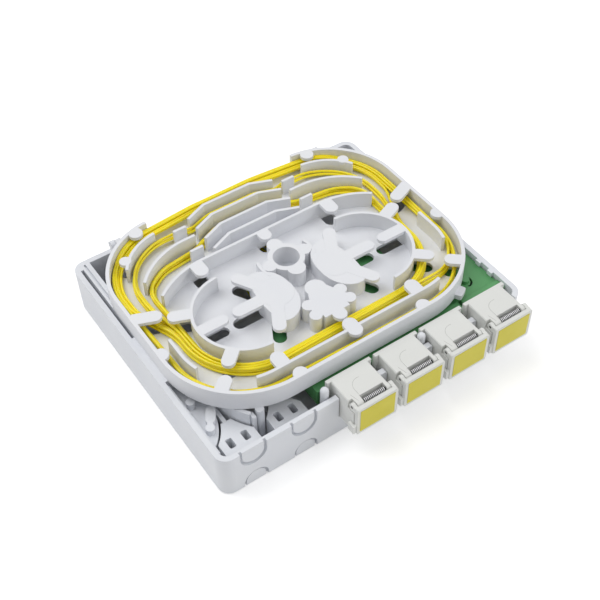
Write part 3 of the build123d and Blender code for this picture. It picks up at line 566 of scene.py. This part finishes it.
def smooth_outline(corners):
    """A closed smooth line through the corners, by Catmull and Rom's rule."""
    points = []
    count = len(corners)
    for i in range(count):
        a, b, c, d = (Vector(corners[(i + k) % count]) for k in (-1, 0, 1, 2))
        for k in range(OUTLINE_STEPS):
            t = k / OUTLINE_STEPS
            points.append((b * 2 + (c - a) * t + (a * 2 - b * 5 + c * 4 - d) * t * t
                           + (b * 3 - a - c * 3 + d) * t ** 3) / 2)
    return points


# Lines moulded into each adapter's top, from the middle of the port and the adapter's front, in millimetres
ARCH_X, ARCH_Y, ARCH_RADIUS, ARCH_FOOT = 0.3, 5.2, 3.0, 1.6
# Each line is a thin tube that stands just proud of the top; its darker grey is painted shade of the moulded
# groove.
SLANT = [(-4.8, 4.3), (-4.45, 2.8), (-4.1, 1.35)]
LINE_RADIUS = 0.07
LINE_SINK = 0.03
LINE_SIDES = 6
# The arch's half circle has this many parts, and it is drawn up to this point of them
ARCH_PARTS = 24
ARCH_POINTS = 15


# Pieces

class FIBREBOX_OT_mouldings(bpy.types.Operator):
    """Paints every moulding: the box, the tray, the green plate, the adapters and their flaps"""
    bl_idname = "fibrebox.mouldings"
    bl_label = "Paint mouldings"

    def execute(self, context):
        finishes = {
            "base_box": "abs_box", "splice_tray": "abs_tray", "inner_cover": "abs_green",
            "adapter": "pbt_grey", "flap": "pbt_grey", "flap_pin": "pin_painted_shade", "flap_spring": "spring_wire",
            "port_label": "film_yellow", "sleeve_holder": "abs_tray", "ferrule_sleeves": "zirconia",
            "pigtail_plugs": "abs_tray", "pigtail_fibres": "jacket_yellow", "fibre_coil": "jacket_yellow",
        }
        for name, node in NODES.items():
            kind = name if name in finishes else name.rsplit("_", 1)[0]
            mesh = node.data
            mesh.materials.clear()
            mesh.materials.append(material(finishes[kind]))
        return {"FINISHED"}


class FIBREBOX_OT_fibres(bpy.types.Operator):
    """Winds the yellow fibre turns into the three channels of the tray"""
    bl_idname = "fibrebox.fibres"
    bl_label = "Wind fibre turns"

    def execute(self, context):
        sizes = context.scene.fibrebox_fibre
        tree = tube_tree()
        rng = random.Random(sizes.seed)
        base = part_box("fibre_coil_outer")[0].z / MM + sizes.diameter / MM / 2
        for name, strands in COILS.items():
            paths = turns(strands, rng, base)
            mesh = grow(path_mesh("turns", paths), tree, {"Radius": sizes.diameter / 2, "Sides": sizes.sides},
                        "jacket_yellow")
            piece = object_from(mesh, "fibre_turns_" + name, "jacket_yellow")
            finish_piece(piece, "tray", "fibre_jacket", "fibre_coil_" + name)
        return {"FINISHED"}


class FIBREBOX_OT_springs(bpy.types.Operator):
    """Winds the coil spring on each flap's pin"""
    bl_idname = "fibrebox.springs"
    bl_label = "Wind flap springs"

    def execute(self, context):
        sizes = context.scene.fibrebox_spring
        tree = spring_tree()
        tube = tube_tree()
        for number in PORTS:
            low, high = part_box("flap_spring_" + str(number))
            pin_low, pin_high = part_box("flap_pin_" + str(number))
            middle = (pin_low + pin_high) / 2
            length = high.x - low.x - sizes.wire
            mesh = grow(bpy.data.meshes.new("empty"), tree, {
                "Wire radius": sizes.wire / 2, "Mean radius": sizes.radius, "Length": length,
                "Turns": float(sizes.turns)}, "spring_wire")
            mesh.transform(Matrix.Translation((low.x + sizes.wire / 2, middle.y, middle.z)))
            below = middle.z - sizes.radius
            start = Vector((low.x + sizes.wire / 2, middle.y, below))
            leg = grow(path_mesh("leg", [([start, start + Vector((0, sizes.leg, 0))], False)]), tube,
                       {"Radius": sizes.wire / 2, "Sides": WIRE_SIDES}, "spring_wire")
            mesh = joined([mesh, leg])
            piece = object_from(mesh, "spring_coil_" + str(number), "spring_wire")
            finish_piece(piece, "base", "spring_steel", "flap_spring_" + str(number))
        return {"FINISHED"}


class FIBREBOX_OT_hubs(bpy.types.Operator):
    """Widens both hubs of the tray to their fan-shaped plateaus"""
    bl_idname = "fibrebox.hubs"
    bl_label = "Widen hubs"

    def execute(self, context):
        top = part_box("splice_tray")[1].z
        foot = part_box("fibre_coil_outer")[0].z - HUB_FOOT
        for side, name in ((1, "left"), (-1, "right")):
            outline = [(side * x, y) for x, y in smooth_outline(HUB_OUTLINE)]
            mesh = prism(outline, foot, top - HUB_STEP, HUB_EDGE)
            finish_piece(object_from(mesh, "hub_plateau_" + name, "abs_tray"), "tray", "tray_plastic")
        return {"FINISHED"}


class FIBREBOX_OT_marks(bpy.types.Operator):
    """Draws the fine arch and the slanted line on top of each adapter, in a darker grey that is painted shade
    of their grooves
    """
    bl_idname = "fibrebox.marks"
    bl_label = "Draw adapter lines"

    def execute(self, context):
        tree = tube_tree()
        angles = [math.pi * k / ARCH_PARTS for k in range(ARCH_POINTS)]
        arch = [(ARCH_X - ARCH_RADIUS, ARCH_FOOT)]
        arch += [(ARCH_X - ARCH_RADIUS * math.cos(a), ARCH_Y + ARCH_RADIUS * math.sin(a)) for a in angles]
        for number in PORTS:
            low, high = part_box("adapter_" + str(number))
            middle_x = (low.x + high.x) / 2
            level = high.z - LINE_SINK * MM
            paths = [([Vector((middle_x + x * MM, low.y + y * MM, level)) for x, y in line], False)
                     for line in (arch, SLANT)]
            mesh = grow(path_mesh("lines", paths), tree, {"Radius": LINE_RADIUS * MM, "Sides": LINE_SIDES},
                        "painted_groove_shade")
            piece = object_from(mesh, "adapter_lines_" + str(number), "painted_groove_shade")
            finish_piece(piece, "base", "adapter_plastic")
        return {"FINISHED"}


# Stage

# Strength of the world on the object, and what lifts the floor to white where it is seen
WORLD_STRENGTH = 0.47
FLOOR_LIFT = 0.34
# Half the floor's width in metres, how far it lies below the object, and how much of the light it gives back
FLOOR_REACH = 1.5
FLOOR_DROP = 0.02 * MM
FLOOR_SHADE = 0.9
# Lamps: place and size in metres, and power in watts. The key hangs high over the back left, and the fill
# lower at the front right.
LAMPS = {
    "key": ((-0.25, 0.35, 0.75), 0.6, 3.35),
    "fill": ((0.55, -0.45, 0.5), 0.5, 1.9),
}
# Where the photograph's camera stood, in metres, with its right, up and backward directions
CAMERA_SPOT = (-0.1221, -0.1861, 0.2552)
CAMERA_RIGHT = (0.82317, -0.56764, -0.01322)
CAMERA_UP = (0.42979, 0.60772, 0.66780)
CAMERA_BACK = (-0.37104, -0.55539, 0.74422)


def make_camera(lens):
    data = bpy.data.cameras.new("camera")
    camera = bpy.data.objects.new("camera", data)
    bpy.context.scene.collection.objects.link(camera)
    turn = Matrix((CAMERA_RIGHT, CAMERA_UP, CAMERA_BACK)).transposed()
    camera.matrix_world = Matrix.Translation(CAMERA_SPOT) @ turn.to_4x4()
    data.lens = lens
    data.sensor_width = 36.0
    data.clip_start, data.clip_end = 0.01, 5.0
    bpy.context.scene.camera = camera


def seen_directly(tree):
    """1 where the camera, a reflection or a clear piece shows this surface, and 0 where it lights."""
    path = add_node(tree, "ShaderNodeLightPath")
    mirrored = add_node(tree, "ShaderNodeMath", {
        0: path.outputs["Is Camera Ray"], 1: path.outputs["Is Glossy Ray"]}, operation="MAXIMUM")
    shown = add_node(tree, "ShaderNodeMath", {
        0: mirrored.outputs["Value"], 1: path.outputs["Is Transmission Ray"]}, operation="MAXIMUM")
    return shown.outputs["Value"]


def make_world(colour):
    world = bpy.data.worlds.new("pale world")
    bpy.context.scene.world = world
    world.use_nodes = True
    tree = world.node_tree
    tree.nodes.clear()
    strength = add_node(tree, "ShaderNodeMapRange", {
        "Value": seen_directly(tree), "To Min": WORLD_STRENGTH, "To Max": 1.0})
    back = add_node(tree, "ShaderNodeBackground", {"Color": colour, "Strength": strength.outputs["Result"]})
    output = add_node(tree, "ShaderNodeOutputWorld")
    tree.links.new(back.outputs["Background"], output.inputs["Surface"])


def make_floor(colour):
    """A wide pale floor that shows as the background's white and keeps the object's shadow."""
    corners = [(x * FLOOR_REACH, y * FLOOR_REACH, 0) for x, y in ((-1, -1), (1, -1), (1, 1), (-1, 1))]
    mesh = bpy.data.meshes.new("floor")
    mesh.from_pydata(corners, [], [(0, 1, 2, 3)])
    floor = bpy.data.objects.new("floor", mesh)
    bpy.context.scene.collection.objects.link(floor)
    floor.location.z = cad_bounds[0].z - FLOOR_DROP
    made, tree, output = new_material("pale_floor")
    diffuse = add_node(tree, "ShaderNodeBsdfDiffuse", {"Color": shade(colour, FLOOR_SHADE)})
    lift = add_node(tree, "ShaderNodeMath", {0: seen_directly(tree), 1: FLOOR_LIFT}, operation="MULTIPLY")
    glow = add_node(tree, "ShaderNodeEmission", {"Color": colour, "Strength": lift.outputs["Value"]})
    both = add_node(tree, "ShaderNodeAddShader", {0: diffuse.outputs["BSDF"], 1: glow.outputs["Emission"]})
    tree.links.new(both.outputs["Shader"], output.inputs["Surface"])
    mesh.materials.append(made)


def make_lamps():
    """Two large soft lamps, turned to the origin."""
    for name, (spot, size, watts) in LAMPS.items():
        data = bpy.data.lights.new(name, "AREA")
        data.size = size
        data.energy = watts
        lamp = bpy.data.objects.new(name, data)
        bpy.context.scene.collection.objects.link(lamp)
        lamp.location = spot
        lamp.rotation_mode = "QUATERNION"
        lamp.rotation_quaternion = Vector(spot).to_track_quat("Z", "Y")


class FIBREBOX_OT_stage(bpy.types.Operator):
    """Sets the floor, the lamps, the pale world and the camera"""
    bl_idname = "fibrebox.stage"
    bl_label = "Set the stage"

    def execute(self, context):
        settings = context.scene.fibrebox_stage
        make_world(settings.background)
        make_floor(settings.background)
        make_lamps()
        make_camera(settings.lens)
        context.scene.view_settings.view_transform = "Standard"
        return {"FINISHED"}


class FIBREBOX_PT_panel(bpy.types.Panel):
    bl_label = "Fibre box"
    bl_idname = "FIBREBOX_PT_panel"
    bl_space_type = "VIEW_3D"
    bl_region_type = "UI"
    bl_category = "Fibre box"

    def draw(self, context):
        for group, steps in STEPS:
            settings = getattr(context.scene, group)
            box = self.layout.box()
            for name in settings.__annotations__:
                box.prop(settings, name)
            for step in steps:
                box.operator(step)


STEPS = (
    ("fibrebox_stage", ("fibrebox.stage",)),
    ("fibrebox_mouldings", ("fibrebox.mouldings", "fibrebox.hubs", "fibrebox.marks")),
    ("fibrebox_fibre", ("fibrebox.fibres",)),
    ("fibrebox_spring", ("fibrebox.springs",)),
)
GROUPS = {
    "fibrebox_stage": FIBREBOX_PG_stage,
    "fibrebox_mouldings": FIBREBOX_PG_mouldings,
    "fibrebox_fibre": FIBREBOX_PG_fibre,
    "fibrebox_spring": FIBREBOX_PG_spring,
}
CLASSES = (
    FIBREBOX_OT_mouldings, FIBREBOX_OT_hubs, FIBREBOX_OT_marks, FIBREBOX_OT_fibres, FIBREBOX_OT_springs,
    FIBREBOX_OT_stage, FIBREBOX_PT_panel,
)


def register():
    for name, group in GROUPS.items():
        bpy.utils.register_class(group)
        setattr(bpy.types.Scene, name, bpy.props.PointerProperty(type=group))
    for item in CLASSES:
        bpy.utils.register_class(item)


def unregister():
    for item in reversed(CLASSES):
        bpy.utils.unregister_class(item)
    for name, group in GROUPS.items():
        delattr(bpy.types.Scene, name)
        bpy.utils.unregister_class(group)


def main():
    register()
    for _, steps in STEPS:
        for step in steps:
            group, name = step.split(".")
            getattr(getattr(bpy.ops, group), name)()


if __name__ == "__main__":
    main()
